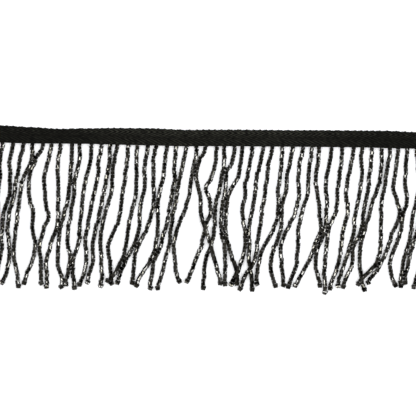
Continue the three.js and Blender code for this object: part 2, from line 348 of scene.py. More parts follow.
def tape_middle_z(y):
    """Z of the middle of the tape's thickness over a nominal y, in mm."""
    points, _ = tape_section()
    for a, b in pairwise(points):
        if y <= b.x:
            return lerp(a.y, b.y, (y - a.x) / (b.x - a.x))
    return FLAT_MIDDLE_Z


# --- The strands' paths ---


@dataclass
class Strand:
    """A strand's path, sampled at every SAMPLE of depth from sample number first on. All in mm."""

    number: int
    first: int
    x: list
    lift: list

    @property
    def last(self):
        return self.first + len(self.x) - 1

    def at(self, k):
        return self.x[k - self.first]

    def slope(self, k):
        low, high = max(k - 1, self.first), min(k + 1, self.last)
        return (self.at(high) - self.at(low)) / ((high - low) * SAMPLE)


def strand_points(row):
    """(depth, X) of the points that a strand goes through, from its root to its end."""
    number, *columns, end_x, end_depth = row
    root_x = columns[0]
    points = [(i * STATION, x) for i, x in enumerate(columns)]
    points.append((-ROOT_COVER - edges_at(root_x)[0], root_x))
    points.append((end_depth, end_x))
    points += [(depth, x) for strand, depth, x in BENDS if strand == number]
    return sorted(points)


def point_slopes(points):
    """Slope of a smooth curve at each of its (depth, X) points."""
    chords = [(x1 - x0) / (d1 - d0) for (d0, x0), (d1, x1) in pairwise(points)]
    inner = []
    for i, (before, after) in enumerate(pairwise(chords)):
        above = points[i + 1][0] - points[i][0]
        below = points[i + 2][0] - points[i + 1][0]
        inner.append((before * below + after * above) / (above + below))
    return [chords[0], *inner, chords[-1]]


def sampled_strand(row):
    points = strand_points(row)
    slopes = point_slopes(points)
    first = round(points[0][0] / SAMPLE)
    last = round(points[-1][0] / SAMPLE)
    x = []
    segment = 0
    for k in range(first, last + 1):
        depth = min(max(k * SAMPLE, points[0][0]), points[-1][0])
        while depth > points[segment + 1][0]:
            segment += 1
        (d0, x0), (d1, x1) = points[segment], points[segment + 1]
        span = d1 - d0
        t = (depth - d0) / span
        x.append(
            x0 * (1 + 2 * t) * (1 - t) ** 2
            + slopes[segment] * span * t * (1 - t) ** 2
            + x1 * t * t * (3 - 2 * t)
            - slopes[segment + 1] * span * t * t * (1 - t)
        )
    return Strand(row[0], first, x, [0.0] * len(x))


def box_smooth(values, reach):
    """Moving average over reach samples to each side."""
    smoothed = []
    for i in range(len(values)):
        near = values[max(0, i - reach) : i + reach + 1]
        smoothed.append(sum(near) / len(near))
    return smoothed


def strands_cross(a, b):
    return (a.x[0] - b.x[0]) * (a.x[-1] - b.x[-1]) < 0


def neighbour_pairs(strands):
    for i, a in enumerate(strands):
        for b in strands[i + 1 : i + 1 + NEIGHBOURS]:
            yield a, b


def shared_samples(a, b):
    return range(max(a.first, b.first), min(a.last, b.last) + 1)


def perpendicular_share(a, b, k):
    """Distance between two strands as a share of their distance along X."""
    slope = (a.slope(k) + b.slope(k)) / 2
    return 1 / math.sqrt(1 + slope * slope)


def shift(strands, moves):
    """Moves each strand's samples by its own list of moves, made smooth."""
    for s in strands:
        smoothed = box_smooth(moves[s.number], SMOOTH_SAMPLES)
        s.x = [x + move for x, move in zip(s.x, smoothed)]


def draw_together(strands):
    """Moves strands that lie almost side by side until they touch, as strung beads cling."""
    moves = {s.number: [0.0] * len(s.x) for s in strands}
    for a, b in pairwise(strands):
        if strands_cross(a, b):
            continue
        for k in shared_samples(a, b):
            share = perpendicular_share(a, b, k)
            distance = (b.at(k) - a.at(k)) * share
            if CLEARANCE < distance < DRAW_REACH:
                t = max(0.0, (distance - DRAW_TOUCH) / (DRAW_REACH - DRAW_TOUCH))
                move = (distance - lerp(CLEARANCE, DRAW_REACH, t)) / share / 2
                moves[a.number][k - a.first] += move
                moves[b.number][k - b.first] -= move
    shift(strands, moves)


def spread_apart(strands):
    """Moves strands that lie side by side until their beads only touch."""
    pairs = [p for p in neighbour_pairs(strands) if not strands_cross(*p)]
    for _ in range(SPREAD_ROUNDS):
        moves = {s.number: [0.0] * len(s.x) for s in strands}
        for a, b in pairs:
            tip = min(a.last, b.last) - TIP_DEPTH / SAMPLE
            for k in shared_samples(a, b):
                gap = b.at(k) - a.at(k)
                if gap > TIP_CLEARANCE * 2:
                    continue
                clearance = TIP_CLEARANCE if k > tip else CLEARANCE
                short = clearance / perpendicular_share(a, b, k) - gap
                if short > 0:
                    moves[a.number][k - a.first] -= short * SPREAD_SHARE
                    moves[b.number][k - b.first] += short * SPREAD_SHARE
        shift(strands, moves)


def lift_over(strands):
    """Raises the strands that lie on top of the ones that they cross."""
    for a, b in neighbour_pairs(strands):
        if not strands_cross(a, b):
            continue
        over, under = (a, b) if a.number in OVER_STRANDS else (b, a)
        for k in shared_samples(a, b):
            distance = abs(a.at(k) - b.at(k)) * perpendicular_share(a, b, k)
            if distance < CLEARANCE:
                i = k - over.first
                needed = math.sqrt(CLEARANCE**2 - distance**2)
                over.lift[i] = max(over.lift[i], needed + under.lift[k - under.first])
    for s in strands:
        if not any(s.lift):
            continue
        reach = SMOOTH_SAMPLES
        wide = [
            max(s.lift[max(0, i - reach) : i + reach + 1]) for i in range(len(s.lift))
        ]
        fall = LIFT_SLOPE * SAMPLE
        for i in range(1, len(wide)):
            wide[i] = max(wide[i], wide[i - 1] - fall)
        for i in range(len(wide) - 2, -1, -1):
            wide[i] = max(wide[i], wide[i + 1] - fall)
        s.lift = box_smooth(wide, reach)


@functools.cache
def strand_paths():
    """Every strand's path once the strands have settled beside and on each other."""
    strands = [sampled_strand(row) for row in STRANDS]
    draw_together(strands)
    spread_apart(strands)
    lift_over(strands)
    return strands


class PathWalk:
    """A strand's path as points in the frame, in mm, to be measured along."""

    def __init__(self, strand):
        self.points = [
            Vector((x, EDGE_Y - (strand.first + i) * SAMPLE, lift))
            for i, (x, lift) in enumerate(zip(strand.x, strand.lift))
        ]
        self.along = [0.0]
        for a, b in pairwise(self.points):
            self.along.append(self.along[-1] + (b - a).length)
        self.segment = len(self.points) - 2

    def at(self, distance):
        """The point at a distance along the path. Calls come with ever smaller distances."""
        distance = max(distance, 0.0)
        while self.segment > 0 and distance < self.along[self.segment]:
            self.segment -= 1
        start, end = self.along[self.segment], self.along[self.segment + 1]
        t = (distance - start) / (end - start)
        return self.points[self.segment].lerp(self.points[self.segment + 1], t)


# --- Beads ---


def mesh_from(bm, name):
    mesh = bpy.data.meshes.new(name)
    bm.to_mesh(mesh)
    bm.free()
    return mesh


def bead_mesh(across, length, bore):
    """One hex-cut bead along Z: six sides, eased edges, low cones for ends, and a thread hole."""
    bm = bmesh.new()
    radius = across / 2 * CORNER_SHARE
    dome = across * DOME
    bmesh.ops.create_cone(
        bm,
        cap_ends=True,
        segments=6,
        radius1=radius,
        radius2=radius,
        depth=length - 2 * dome,
    )
    long_edges = [
        e for e in bm.edges if abs(e.verts[0].co.z - e.verts[1].co.z) > length / 2
    ]
    bmesh.ops.bevel(
        bm,
        geom=long_edges,
        offset=across * EASED_EDGE,
        offset_type="OFFSET",
        segments=1,
        profile=0.5,
        affect="EDGES",
        material=-1,
    )
    ends = [f for f in bm.faces if abs(f.normal.z) > 0.9]
    bmesh.ops.inset_individual(bm, faces=ends, thickness=across * END_RING, depth=dome)
    for face in ends:
        for vert in face.verts:
            vert.co.xy = vert.co.xy.normalized() * (bore / 2)
    rims = list({e for face in ends for e in face.edges})
    bmesh.ops.delete(bm, geom=ends, context="FACES_ONLY")
    bmesh.ops.bridge_loops(bm, edges=rims)
    bmesh.ops.recalc_face_normals(bm, faces=bm.faces)
    return mesh_from(bm, "one_bead")


@dataclass
class PlacedBead:
    matrix: Matrix
    shade: float


@dataclass
class DressedStrand:
    """A strand's beads, and the points of the thread through them and round the end bead."""

    number: int
    beads: list
    thread: list
    loop: list


def axes_along(direction, roll):
    """A turn that takes Z to direction, after a roll about Z."""
    z = direction.normalized()
    x = z.cross(Vector((0, 0, 1))).normalized()
    y = z.cross(x)
    turn = Matrix((x, y, z)).transposed()
    return turn @ Matrix.Rotation(roll, 3, "Z")


def any_roll(rng):
    """A bead's roll about its thread: near to one of its six flat sides."""
    side = math.tau / 6
    return side / 2 + side * rng.randrange(6) + rng.gauss(0, ROLL_SPREAD)


def place_bead(rng, middle, direction, roll, size, corners):
    """A bead on the surface or on the strand below it, tilted a little at random."""
    angle = rng.gauss(0, BEAD_TILT)
    axis = Vector((rng.gauss(0, TILT_LEAN), rng.gauss(0, TILT_LEAN), 1))
    tilt = Matrix.Rotation(angle, 3, axis)
    turn = tilt @ axes_along(direction, roll)
    shaped = turn @ Matrix.Diagonal(size)
    lowest = min((shaped @ corner).z for corner in corners)
    place = Vector((middle.x, middle.y, middle.z - lowest))
    matrix = Matrix.Translation(place) @ shaped.to_4x4()
    return PlacedBead(matrix, rng.random())


def dress_strand(strand, across, length, gap, seed, corners):
    rng = random.Random(seed * SEED_STEP + strand.number)
    walk = PathWalk(strand)
    end = walk.along[-1]

    middle = walk.at(end - across / 2)
    heading = (walk.at(end - across) - middle).normalized()
    turn = math.pi / 2 + rng.uniform(-END_BEAD_TURN, END_BEAD_TURN)
    across_way = Matrix.Rotation(turn, 3, "Z") @ heading
    across_way.z = END_BEAD_SLOPE
    roll = any_roll(rng)
    end_bead = place_bead(
        rng, middle, across_way, roll, Vector((1, 1, END_BEAD_LENGTH)), corners
    )
    beads = [end_bead]
    thread = []
    stray = 0.0
    distance = end - across - END_GAP
    while distance > gap:
        stretch = 1 + rng.uniform(-BEAD_LENGTH_SPREAD, BEAD_LENGTH_SPREAD)
        girth = 1 + rng.uniform(-BEAD_SIZE_SPREAD, BEAD_SIZE_SPREAD / 2)
        low = walk.at(distance)
        high = walk.at(distance - length * stretch)
        along = high - low
        stray = stray * STRAY_KEPT + rng.gauss(0, BEAD_STRAY)
        roll += rng.gauss(0, ROLL_DRIFT)
        if rng.random() < RUN_BREAK:
            roll = any_roll(rng)
        place = (low + high) / 2 + Vector((along.y, -along.x, 0)).normalized() * stray
        size = Vector((girth, girth, stretch))
        bead = place_bead(rng, place, along, roll, size, corners)
        beads.append(bead)
        centre = bead.matrix.translation
        axis = bead.matrix.to_3x3() @ Vector((0, 0, length / 2))
        thread += [centre - axis, centre + axis]
        distance -= length * stretch + gap
    loop = end_loop(end_bead, thread[0], length, across)
    return DressedStrand(strand.number, beads, thread, loop)


def end_loop(bead, knot, length, across):
    """Points of the closed loop from the last bead's hole through the crosswise bead and back."""
    centre = bead.matrix.translation
    axis = bead.matrix.to_3x3() @ Vector((0, 0, length / 2))
    reach = axis.length
    side = axis.normalized()
    up = knot - centre
    up = (up - side * up.dot(side)).normalized()
    height = across / 2 + LOOP_CLEARANCE
    half_loop = [
        (along * reach + further, rise * height + higher)
        for along, further, rise, higher in END_LOOP
    ]
    right = [centre + side * a + up * b for a, b in half_loop]
    left = [centre - side * a + up * b for a, b in half_loop[1:]]
    return [knot + up * KNOT_RISE, *right, *reversed(left)]


@functools.cache
def dressed_strands(across, length, bore, gap, seed):
    template = bead_mesh(across, length, bore)
    corners = [v.co.copy() for v in template.vertices]
    bpy.data.meshes.remove(template)
    return [
        dress_strand(s, across, length, gap, seed, corners) for s in strand_paths()
    ]


def dressed(settings):
    return dressed_strands(
        settings.across / MM,
        settings.length / MM,
        settings.bore / MM,
        settings.gap / MM,
        settings.seed,
    )


# --- Making pieces ---


def add_object(name, data):
    """A new object in the scene, in place of any old one of the same name."""
    old = bpy.data.objects.get(name)
    if old:
        bpy.data.objects.remove(old)
    data.name = name
    made = bpy.data.objects.new(name, data)
    bpy.context.scene.collection.objects.link(made)
    return made


def add_piece(name, mesh, material, stands_for):
    mesh.materials.append(material)
    piece = add_object(name, mesh)
    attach(piece, BODY)
    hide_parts(stands_for)
    return piece


def thread_mesh(name, runs, diameter):
    """Round thread along runs of points in mm. Each run is (points, closed)."""
    curve = bpy.data.curves.new(name, "CURVE")
    curve.dimensions = "3D"
    curve.bevel_depth = diameter / 2
    curve.bevel_resolution = 1
    curve.use_fill_caps = True
    for points, closed in runs:
        spline = curve.splines.new("POLY")
        spline.points.add(len(points) - 1)
        for spot, point in zip(spline.points, points):
            spot.co = (*(point * MM), 1)
        spline.use_cyclic_u = closed
    holder = bpy.data.objects.new(name, curve)
    mesh = bpy.data.meshes.new_from_object(holder)
    bpy.data.objects.remove(holder)
    bpy.data.curves.remove(curve)
    bm = bmesh.new()
    bm.from_mesh(mesh)
    bmesh.ops.remove_doubles(bm, verts=bm.verts, dist=diameter * WELD)
    bmesh.ops.recalc_face_normals(bm, faces=bm.faces)
    bm.to_mesh(mesh)
    bm.free()
    mesh.shade_smooth()
    return mesh


def fold_at(across_mm, settings):
    """Distance across the cloth from the herringbone's nearest fold line, in mm."""
    from_point = abs(across_mm - settings.point_line / MM)
    turn = settings.turn_line / MM - settings.point_line / MM
    return turn - abs(from_point - turn)


def tape_mesh(settings):
    """The tape as one sheet down the middle of its thickness, with raised herringbone ribs."""
    width = tape_section()[1][-1]
    bm = bmesh.new()
    uv_layer = bm.loops.layers.uv.new("cloth")
    rows_across = round(width / settings.cell_across * MM)
    cells_along = round(TAPE_LENGTH / settings.cell_along * MM)
    bmesh.ops.create_grid(bm, x_segments=cells_along, y_segments=rows_across, size=0.5)
    for face in bm.faces:
        for loop in face.loops:
            loop[uv_layer].uv = loop.vert.co.xy + Vector((0.5, 0.5))
    pitch, angle = settings.rib_pitch / MM, settings.rib_angle
    for vert in bm.verts:
        u, v = vert.co.x * TAPE_LENGTH, (vert.co.y + 0.5) * width
        place, normal = section_at(v)
        phase = (u * math.sin(angle) - fold_at(v, settings) * math.cos(angle)) / pitch
        place = place + normal * (settings.rib_height / MM * math.sin(math.tau * phase))
        lower, upper = edges_at(u)
        y = lerp(lower, upper, place.x / TAPE_WIDTH)
        hem = smoothstep((v - width + HEM) / HEM)
        for share, scallop, wobble, reach in SCALLOPS:
            wave = math.cos(math.tau * u / scallop + wobble * math.sin(u / reach))
            y += hem * settings.scallop / MM * share * wave
        vert.co = Vector((u, EDGE_Y + y, place.y)) * MM
    bmesh.ops.recalc_face_normals(bm, faces=bm.faces)
    if sum(f.normal.z for f in bm.faces) < 0:
        bmesh.ops.reverse_faces(bm, faces=bm.faces)
    mesh = mesh_from(bm, "heading_tape")
    mesh.shade_smooth()
    return mesh


# --- Materials ---


def put(tree, kind, inputs=None, **settings):
    """Adds a node, sets it up, and fills or links its inputs by name or number."""
    made = tree.nodes.new(kind)
    for key, value in settings.items():
        setattr(made, key, value)
    for key, value in (inputs or {}).items():
        if isinstance(value, bpy.types.NodeSocket):
            tree.links.new(value, made.inputs[key])
        else:
            made.inputs[key].default_value = value
    return made


def maths(tree, operation, *values):
    """The output of a maths node on sockets or numbers."""
    made = put(tree, "ShaderNodeMath", dict(enumerate(values)), operation=operation)
    return made.outputs[0]


def times(tree, *values):
    """Sockets or numbers multiplied together."""
    return functools.reduce(functools.partial(maths, tree, "MULTIPLY"), values)


def apart(tree, a, b):
    """How far apart two numbers are."""
    return maths(tree, "ABSOLUTE", maths(tree, "SUBTRACT", a, b))


def mix_colours(tree, share, pair):
    """A colour from pair.dark to pair.light."""
    inputs = {0: share, 6: rgba(pair.dark), 7: rgba(pair.light)}
    return put(tree, "ShaderNodeMix", inputs, data_type="RGBA").outputs[2]


def ramp(tree, value, stops, smooth=False):
    """A number mapped and clamped. Stops are: from, to, result at from, result at to."""
    made = put(
        tree,
        "ShaderNodeMapRange",
        dict(zip(("From Min", "From Max", "To Min", "To Max"), stops)),
        interpolation_type="SMOOTHSTEP" if smooth else "LINEAR",
    )
    tree.links.new(value, made.inputs["Value"])
    return made.outputs[0]


def between(tree, share, low, high):
    """A number from low to high, as a share goes from 0 to 1."""
    return ramp(tree, share, (0.0, 1.0, low, high))


def noise(tree, place, scale, detail):
    """Soft noise at a place, mostly from 0.3 to 0.7."""
    made = put(tree, "ShaderNodeTexNoise", {"Vector": place, "Scale": scale, "Detail": detail})
    return made.outputs[0]


def bumped(tree, height, strength, distance):
    """Normals of a surface that is raised by a height times a distance in metres."""
    inputs = {"Height": height, "Strength": strength, "Distance": distance}
    return put(tree, "ShaderNodeBump", inputs).outputs[0]


def object_place(tree):
    return put(tree, "ShaderNodeTexCoord").outputs["Object"]


def rgba(colour):
    return (*colour, 1.0)


def new_material(name):
    material = bpy.data.materials.new(name)
    material.use_nodes = True
    material.node_tree.nodes.clear()
    return material, material.node_tree


def finish_material(tree, shader_inputs):
    shader = put(tree, "ShaderNodeBsdfPrincipled", shader_inputs)
    put(tree, "ShaderNodeOutputMaterial", {"Surface": shader.outputs[0]})


def fibre_group():
    """Node group: uneven fibres in spun yarn, as a shade and a height."""
    name = "spun_fibres"
    if name in bpy.data.node_groups:
        return bpy.data.node_groups[name]
    group = bpy.data.node_groups.new(name, "ShaderNodeTree")
    group.interface.new_socket("Vector", in_out="INPUT", socket_type="NodeSocketVector")
    group.interface.new_socket("Scale", in_out="INPUT", socket_type="NodeSocketFloat")
    for output in ("Shade", "Height"):
        group.interface.new_socket(output, in_out="OUTPUT", socket_type="NodeSocketFloat")
    start = put(group, "NodeGroupInput").outputs
    scale, share = FIBRE_PATCHES
    patches = noise(group, start["Vector"], times(group, start["Scale"], scale), 3.0)
    fibres = noise(group, start["Vector"], start["Scale"], 2.0)
    shade = maths(group, "ADD", times(group, patches, share), times(group, fibres, 1 - share))
    put(group, "NodeGroupOutput", {"Shade": shade, "Height": fibres})
    return group


def fibres_at(tree, place, scale):
    """Shade and height of the spun fibres at a place."""
    inputs = {"Vector": place, "Scale": scale}
    return put(tree, "ShaderNodeGroup", inputs, node_tree=fibre_group()).outputs


def tape_material(settings):
    """Woven tape: a herringbone of slanting ribs crossed by yarns, uneven from rib to rib. Ribs
    carry painted sheen and grooves painted shade.
    """
    material, tree = new_material("herringbone_tape")
    uv = put(tree, "ShaderNodeUVMap", uv_map="cloth").outputs[0]
    cloth = put(tree, "ShaderNodeSeparateXYZ", {0: uv}).outputs
    u = times(tree, cloth[0], float(TAPE_LENGTH))
    v = times(tree, cloth[1], tape_section()[1][-1])
    point, turn = settings.point_line / MM, settings.turn_line / MM
    angle, pitch = settings.rib_angle, settings.rib_pitch / MM

    # The same herringbone as in fold_at and tape_mesh
    half = turn - point
    fold = maths(tree, "SUBTRACT", half, apart(tree, apart(tree, v, point), half))
    rise, run = math.sin(angle), math.cos(angle)
    across_ribs = maths(
        tree, "SUBTRACT", times(tree, u, rise / pitch), times(tree, fold, run / pitch)
    )
    along_ribs = maths(tree, "ADD", times(tree, u, run), times(tree, v, rise))
    # Ribs are painted lighter, as sheen, and the grooves and the gaps between yarns darker, as
    # shade; the same profile also sets the roughness and the bump
    wave = maths(tree, "SINE", times(tree, across_ribs, math.tau))
    ridge = maths(tree, "MULTIPLY_ADD", wave, *RIB_WAVE)
    ridge = maths(tree, "SMOOTH_MIN", ridge, 1.0, RIB_ROUNDING)
    ridge = maths(tree, "MAXIMUM", ridge, 0.0)
    yarns = maths(tree, "DIVIDE", fold, settings.yarn / MM)
    crown = maths(tree, "ABSOLUTE", maths(tree, "SINE", times(tree, yarns, math.pi)))
    rib = times(tree, ridge, between(tree, crown, *YARN_SHADES))

    rib_place = put(
        tree,
        "ShaderNodeCombineXYZ",
        {
            0: maths(tree, "DIVIDE", along_ribs, settings.streak / MM),
            1: times(tree, across_ribs, STREAK_ACROSS),
            2: maths(tree, "SIGN", maths(tree, "SUBTRACT", v, point)),
        },
    ).outputs[0]
    streak = ramp(tree, noise(tree, rib_place, 1.0, 1.0), STREAK_RAMP)
    # Painted sheen: the cloth is lighter towards the middle of the tape's length
    painted_sheen = ramp(tree, apart(tree, cloth[0], PAINTED_SHEEN_PLACE), PAINTED_SHEEN_RAMP, smooth=True)
    # Painted light: darker on the lower, sloping part of the tape and lighter on its upper, flat
    # part
    painted_upper_light = ramp(tree, v, (point - LIT_UPPER_REACH[0], turn + LIT_UPPER_REACH[1], *LIT_UPPER_SHADES))
    place = object_place(tree)
    fibres = fibres_at(tree, place, TAPE_FIBRES)
    plain = ramp(tree, noise(tree, place, PLAIN_SCALE, 1.0), PLAIN_RAMP)
    lost = times(tree, plain, maths(tree, "SUBTRACT", PLAIN_SHADE, rib))
    rib_sheen_and_groove_shade = maths(tree, "ADD", rib, lost)
    fibre_shade = between(tree, fibres["Shade"], *FIBRE_SHADES)
    # Tone of the cloth, with the painted sheen and shade above multiplied in
    shade = times(tree, rib_sheen_and_groove_shade, fibre_shade, streak, painted_sheen, painted_upper_light)
    share = maths(tree, "MINIMUM", maths(tree, "DIVIDE", shade, FULL_SHADE), 1.0)
    height = maths(tree, "ADD", rib, times(tree, fibres["Height"], FIBRE_HEIGHT))
    finish_material(
        tree,
        {
            "Base Color": mix_colours(tree, share, settings),
            "Roughness": between(tree, rib, *RIB_ROUGHNESS),
            "Specular IOR Level": 0.1,
            "Normal": bumped(tree, height, *TAPE_BUMP),
        },
    )
    return material


def glass_material(settings):
    """Polished black glass: a dark mirror, so that it shows only what its cut faces reflect."""
    material, tree = new_material("cut_black_glass")
    shade = put(
        tree, "ShaderNodeAttribute", attribute_name="shade", attribute_type="GEOMETRY"
    ).outputs["Fac"]
    place = object_place(tree)
    dullness = between(tree, times(tree, shade, shade), settings.polish, settings.dull)
    specks = between(tree, noise(tree, place, *SPECKS), 0.0, SPECK_ROUGHNESS)
    finish_material(
        tree,
        {
            "Base Color": mix_colours(tree, shade, settings),
            "Roughness": maths(tree, "ADD", dullness, specks),
            "Metallic": 1.0,
            "Specular Tint": (0.0, 0.0, 0.0, 1.0),
            "Normal": bumped(tree, noise(tree, place, *GLASS_WAVES), *GLASS_BUMP),
        },
    )
    return material


def thread_material(settings):
    material, tree = new_material("waxed_thread")
    fibres = fibres_at(tree, object_place(tree), THREAD_FIBRES)
    finish_material(
        tree,
        {
            "Base Color": mix_colours(tree, fibres["Shade"], settings),
            "Roughness": between(tree, fibres["Shade"], *THREAD_ROUGHNESS),
            "Specular IOR Level": 0.3,
            "Normal": bumped(tree, fibres["Height"], *THREAD_BUMP),
        },
    )
    return material


def seen_directly(tree):
    """1 for what the camera sees, straight or in a glossy or clear surface, and otherwise 0."""
    path = put(tree, "ShaderNodeLightPath")
    straight = maths(
        tree, "MAXIMUM", path.outputs["Is Camera Ray"], path.outputs["Is Glossy Ray"]
    )
    return maths(tree, "MAXIMUM", straight, path.outputs["Is Transmission Ray"])


def floor_material(settings):
    """White paper that stays white out to the horizon, where the strip lamps don't reach."""
    material, tree = new_material("pale_floor")
    paper = put(tree, "ShaderNodeBsdfDiffuse", {"Color": rgba(settings.floor_colour)}).outputs[0]
    away = put(tree, "ShaderNodeVectorMath", {0: object_place(tree)}, operation="LENGTH")
    stops = (*GLOW_REACH, settings.floor_glow, 1.0)
    strength = ramp(tree, away.outputs["Value"], stops, smooth=True)
    glow = put(tree, "ShaderNodeEmission", {"Color": rgba((1, 1, 1)), "Strength": strength})
    lit = put(tree, "ShaderNodeAddShader", {0: paper, 1: glow.outputs[0]}).outputs[0]
    inputs = {0: seen_directly(tree), 1: paper, 2: lit}
    surface = put(tree, "ShaderNodeMixShader", inputs).outputs[0]
    put(tree, "ShaderNodeOutputMaterial", {"Surface": surface})
    return material


def studio_world(settings):
    """A sky that is white low down and patchy above, and dimmer where it lights matt surfaces."""
    world = bpy.data.worlds.new("studio")
    world.use_nodes = True
    tree = world.node_tree
    tree.nodes.clear()
    way = put(tree, "ShaderNodeTexCoord").outputs["Generated"]
    height = put(tree, "ShaderNodeSeparateXYZ", {0: way}).outputs[2]
    clouds = noise(tree, way, *SKY_PATCHES)
    patches = ramp(tree, clouds, (*PATCH_EDGES, 0.0, settings.sky), smooth=True)
    fall = ramp(tree, height, (*SKY_FALL, 1.0, patches), smooth=True)
    strength = times(tree, fall, between(tree, seen_directly(tree), settings.sky_light, 1.0))
    inputs = {"Color": rgba(settings.sky_colour), "Strength": strength}
    sky = put(tree, "ShaderNodeBackground", inputs).outputs[0]
    put(tree, "ShaderNodeOutputWorld", {"Surface": sky})
    return world


# --- Settings ---


def length_setting(name, description, default):
    return FloatProperty(name=name, description=description, default=default, unit="LENGTH")


def colour_setting(name, description, default, brightest=1):
    return FloatVectorProperty(
        name=name, description=description, default=default, subtype="COLOR", min=0, max=brightest
    )


class FringeTapeSettings(bpy.types.PropertyGroup):
    """Sizes and colours of the heading tape."""

    thickness: length_setting("Thickness", "Thickness of the woven cloth", 0.0009)
    rib_pitch: length_setting(
        "Rib Pitch", "Distance from one herringbone rib to the next", 0.00118
    )
    rib_angle: FloatProperty(
        name="Rib Angle",
        description="Slant of the ribs from the tape's length",
        default=math.radians(22),
        subtype="ANGLE",
    )
    rib_height: length_setting(
        "Rib Height", "How far a rib rises above the middle of the cloth's surface", 0.00005
    )
    streak: length_setting("Streak", "Length along a rib over which its shade changes", 0.0024)
    yarn: length_setting("Yarn", "Width of one warp yarn", 0.00034)
    point_line: length_setting(
        "Point Line",
        "Distance across the cloth from the lower edge to the herringbone's points",
        0.0050,
    )
    turn_line: length_setting(
        "Turn Line", "Distance across the cloth to where the ribs turn back", 0.0088
    )
    scallop: length_setting("Scallop", "How far the upper selvedge waves in and out", 0.00028)
    cell_along: length_setting("Cell Along", "Mesh size along the tape", 0.00035)
    cell_across: length_setting("Cell Across", "Mesh size across the tape", 0.00028)
    # The dark colour is painted shade in the grooves between ribs, and the light one is painted
    # sheen on the ribs
    dark: colour_setting("Dark", "Colour between the ribs", (0.0004, 0.0004, 0.0002))
    light: colour_setting("Light", "Colour of the ribs", (0.0405, 0.0405, 0.031))


class FringeBeadSettings(bpy.types.PropertyGroup):
    """Sizes and colours of the glass beads."""

    across: length_setting("Across", "Size of a bead from corner to corner", 0.0026)
    length: length_setting("Length", "Length of a bead", 0.0021)
    bore: length_setting("Bore", "Width of the thread hole", 0.0007)
    gap: length_setting("Gap", "Thread that shows between two beads", 0.00004)
    seed: IntProperty(
        name="Seed", description="Number that the beads are turned from", default=7
    )
    dark: colour_setting(
        "Dark", "What the darkest glass reflects of a white light", (0.0375, 0.0355, 0.029)
    )
    light: colour_setting(
        "Light", "What the palest glass reflects of a white light", (0.073, 0.0715, 0.0675)
    )
    polish: FloatProperty(
        name="Polish",
        description="Roughness of the smoothest beads",
        default=0.03,
        subtype="FACTOR",
        min=0,
        max=1,
    )
    dull: FloatProperty(
        name="Dull",
        description="Roughness of the dullest beads",
        default=0.1,
        subtype="FACTOR",
        min=0,
        max=1,
    )


class FringeThreadSettings(bpy.types.PropertyGroup):
    """Size and colour of the thread."""

    diameter: length_setting("Diameter", "Diameter of the stringing thread", 0.00025)
    dark: colour_setting("Dark", "Colour between the thread's fibres", (0.006, 0.006, 0.0054))
    light: colour_setting("Light", "Colour of the thread's fibres", (0.01, 0.01, 0.009))
    stitch_pitch: length_setting(
        "Stitch Pitch", "Distance along the tape from one zigzag stitch to the next", 0.0024
    )
    stitch_line: length_setting(
        "Stitch Line", "Distance of the stitching above the tape's lower edge", 0.0032
    )


class FringeStageSettings(bpy.types.PropertyGroup):
    """The floor, the light and the camera."""

    floor_size: length_setting("Floor Size", "Side of the square floor", 8.0)
    floor_colour: colour_setting("Floor Colour", "Colour of the floor", (0.95, 0.95, 0.95))
    floor_glow: FloatProperty(
        name="Floor Glow",
        description="White added to the floor where it is seen directly",
        default=0.3,
    )
    sky: FloatProperty(
        name="Sky", description="Brightness of the patches above, where 1 is white", default=0.62
    )
    sky_light: FloatProperty(
        name="Sky Light",
        description="Share of the sky's brightness that lights matt surfaces",
        default=0.3,
    )
    sky_colour: colour_setting(
        "Sky Colour", "Colour of the sky, a little warm", (1.04, 1.0, 0.93), brightest=2
    )
    strip_colour: colour_setting(
        "Strip Colour",
        "Colour of the strip lamps, a little cool so that white stays white",
        (0.985, 1.0, 1.025),
        brightest=2,
    )
    strip_radiance: FloatProperty(
        name="Strip Radiance",
        description="Brightness of each strip lamp's face, where 1 is white",
        default=35.0,
    )
    strip_width: length_setting("Strip Width", "Width of a strip lamp", 0.0265)
    strip_length: length_setting("Strip Length", "Length of a strip lamp", 1.3)
    strip_distance: length_setting(
        "Strip Distance", "Distance of the strip lamps from the trim", 0.9
    )
    camera_distance: length_setting("Camera Distance", "Height of the camera above the trim", 1.3)
    view_width: length_setting("View Width", "Width of the view at the surface", 0.2496)
    view_depth: length_setting(
        "View Depth", "Depth below the tape's edge of the middle of the view", 0.0372
    )
    view_roll: FloatProperty(
        name="View Roll",
        description="Turn of the camera about its own axis",
        default=math.radians(0.85),
        subtype="ANGLE",
    )


# --- Operators ---


class FRINGE_OT_strands(bpy.types.Operator):
    """Strings the glass beads of every strand, with its crosswise end bead"""

    bl_idname = "fringe.strands"
    bl_label = "Bead Strands"
    bl_options = {"REGISTER", "UNDO"}

    def execute(self, context):
        settings = context.scene.fringe_beads
        material = glass_material(settings)
        template = bead_mesh(settings.across / MM, settings.length / MM, settings.bore / MM)
        per_bead = len(template.vertices)
        for strand in dressed(settings):
            bm = bmesh.new()
            for bead in strand.beads:
                known = len(bm.verts)
                bm.from_mesh(template)
                bm.verts.ensure_lookup_table()
                bmesh.ops.transform(
                    bm,
                    matrix=Matrix.Scale(MM, 4) @ bead.matrix,
                    verts=bm.verts[known:],
                )
            mesh = mesh_from(bm, "strand")
            shade = mesh.attributes.new("shade", "FLOAT", "POINT")
            values = [bead.shade for bead in strand.beads for _ in range(per_bead)]
            shade.data.foreach_set("value", values)
            name = f"strand_{strand.number:02d}"
            add_piece(name, mesh, material, "fringe")
        bpy.data.meshes.remove(template)
        return {"FINISHED"}


class FRINGE_OT_threads(bpy.types.Operator):
    """Runs the thread through every strand and round its end bead"""

    bl_idname = "fringe.threads"
    bl_label = "Threads"
    bl_options = {"REGISTER", "UNDO"}

    def execute(self, context):
        scene = context.scene
        runs = []
        for strand in dressed(scene.fringe_beads):
            runs.append((strand.thread, False))
            runs.append((strand.loop, True))
        mesh = thread_mesh("threads", runs, scene.fringe_thread.diameter)
        material = thread_material(scene.fringe_thread)
        add_piece("threads", mesh, material, "fringe")
        return {"FINISHED"}


